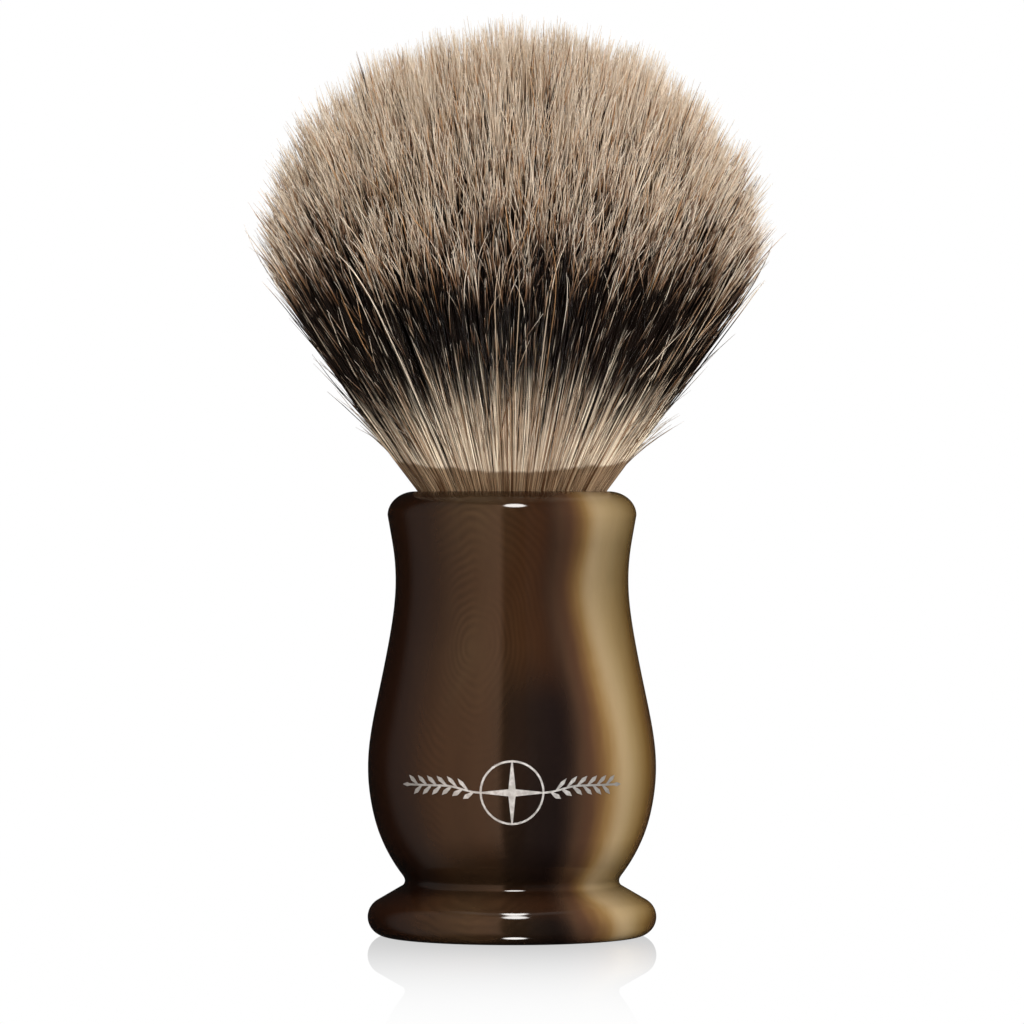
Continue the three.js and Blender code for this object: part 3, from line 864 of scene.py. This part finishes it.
def build_floor():
    corners = [(-1, -1), (1, -1), (1, 1), (-1, 1)]
    verts = [(x * FLOOR_HALF, y * FLOOR_HALF, FLOOR_Z) for x, y in corners]
    floor = mesh_object("floor", verts, [0, 1, 2, 3], [0], smooth=False)
    floor.data.materials.append(floor_material())


def studio_world():
    """White to the camera. To everything else, a studio: a wide softbox to the left with a
    straight edge just left of the camera, a dim one to the right and light from above."""
    world = bpy.data.worlds.new("studio")
    scene.world = world
    nodes = Nodes(world)
    path = nodes.new("LightPath").outputs
    x, y, z = nodes.split(nodes.new("TexCoord").outputs["Generated"])
    degrees = 180 / math.pi
    azimuth = nodes.times(nodes.maths("ARCTAN2", x, nodes.times(y, -1)), degrees)
    elevation = nodes.times(nodes.maths("ARCSINE", z), degrees)

    def window(value, start, end, soft_start, soft_end):
        rise = nodes.fade(value, start - soft_start, start + soft_start)
        fall = nodes.fade(value, end - soft_end, end + soft_end, low=1.0, high=0.0)
        return nodes.times(rise, fall)

    def wall_box(start, end, soft_start, soft_end):
        """A box between two azimuths, all of them equally tall."""
        return nodes.times(window(azimuth, start, end, soft_start, soft_end),
                           window(elevation, -50, 58, 15, 8))

    def ellipse(value, other, centre, half, end):
        u, v = (nodes.maths("DIVIDE", nodes.maths("SUBTRACT", a, middle), size)
                for a, middle, size in zip((value, other), centre, half))
        square = nodes.maths("ADD", nodes.times(u, u), nodes.times(v, v))
        return nodes.fade(square, 0.5, end, low=1.0, high=0.0)

    def disk(height, half):
        """A round box overhead (or its image in the table), one unit above the part."""
        shape = ellipse(nodes.maths("DIVIDE", x, height), nodes.maths("DIVIDE", y, height),
                        centre=(0.026, -0.235), half=half, end=1.25)
        return nodes.times(shape, nodes.fade(height, 0.2, 0.3))

    # what polished surfaces mirror
    left = wall_box(-122, -9.5, 6, 4.0)
    fall = nodes.maths("POWER", nodes.fade(azimuth, -120, -10, shape="LINEAR"), 1.6)
    left = nodes.times(left, nodes.times(fall, 0.98))
    right = wall_box(13, 100, 1.5, 8)
    overhead = disk(z, (0.118, 0.23))
    strip = nodes.maths("ADD", overhead, disk(nodes.times(z, -1.0), (0.110, 0.15)))
    spot = ellipse(azimuth, elevation, centre=(3.5, 54.0), half=(14.0, 10.0), end=1.3)
    strip = nodes.maths("MAXIMUM", strip, spot)
    strip = nodes.times(strip, nodes.maths("LESS_THAN", path["Glossy Depth"], 1.5))
    mirrored = 0.01
    for light, strength in ((right, 0.06), (wall_box(-117, -84, 10, 16), 0.11),
                            (strip, 21.0), (nodes.fade(elevation, 58, 74), 0.4)):
        mirrored = nodes.times_add(light, strength, mirrored)
    # inputs 2 and 3 are the number sockets: what matte surfaces get, what polished ones get
    soft = nodes.fade(elevation, 25, 70, low=0.07, high=0.55)
    glossy = path["Is Glossy Ray"]
    total = nodes.new("Mix", {0: glossy, 2: soft, 3: mirrored}, data_type="FLOAT").outputs[0]

    def background(colour, strength):
        return nodes.new("Background", {"Color": colour, "Strength": strength}).outputs[0]

    cool = background((1.0, 0.975, 0.94), total)
    warm = nodes.mix(nodes.fade(azimuth, -100, -35), (1.0, 0.90, 0.84), (1.0, 0.60, 0.40))
    warm = background(warm, nodes.times(left, glossy))
    lit = nodes.new("AddShader", {0: cool, 1: warm}).outputs[0]
    seen = nodes.maths("MAXIMUM", path["Is Camera Ray"], path["Is Singular Ray"])
    both = nodes.new("MixShader", {0: seen, 1: lit, 2: background((1, 1, 1), 1.0)})
    nodes.output(both.outputs[0], "OutputWorld")


def softbox(name, place, aim, size, watts):
    """A soft area light that only brightens surfaces: the world holds what polished ones mirror."""
    light = bpy.data.lights.new(name, "AREA")
    light.shape = "DISK"
    light.size = size
    light.energy = watts
    light.color = (1.0, 0.98, 0.95)
    lamp = bpy.data.objects.new(name, light)
    scene.collection.objects.link(lamp)
    lamp.location = place
    lamp.rotation_euler = (Vector(aim) - Vector(place)).to_track_quat("-Z", "Y").to_euler()
    lamp.visible_glossy = False
    lamp.visible_camera = False


def build_camera():
    """Level, in front of the brush."""
    camera = bpy.data.objects.new("camera", bpy.data.cameras.new("camera"))
    scene.collection.objects.link(camera)
    camera.location = (0, -0.700, 0.0534)
    camera.rotation_euler = (math.pi / 2, 0, 0)
    camera.data.lens = 195.15
    camera.data.sensor_width = 36
    camera.data.clip_start = 0.01
    camera.data.clip_end = 20
    scene.camera = camera


build_floor()
studio_world()
softbox("front_box", place=(0.16, -0.80, 0.11), aim=(0, 0, 0.07), size=0.22, watts=5.6)
softbox("top_box", place=(-0.06, -0.16, 0.75), aim=(0, 0, 0.09), size=0.30, watts=4.4)
softbox("left_box", place=(-0.60, -0.30, 0.62), aim=(0, 0, 0.10), size=0.35, watts=1.2)
softbox("back_box", place=(0.15, 0.75, 0.50), aim=(0, 0, 0.09), size=0.40, watts=4.0)
build_camera()
scene.view_settings.view_transform = "Standard"
scene.view_settings.look = "None"
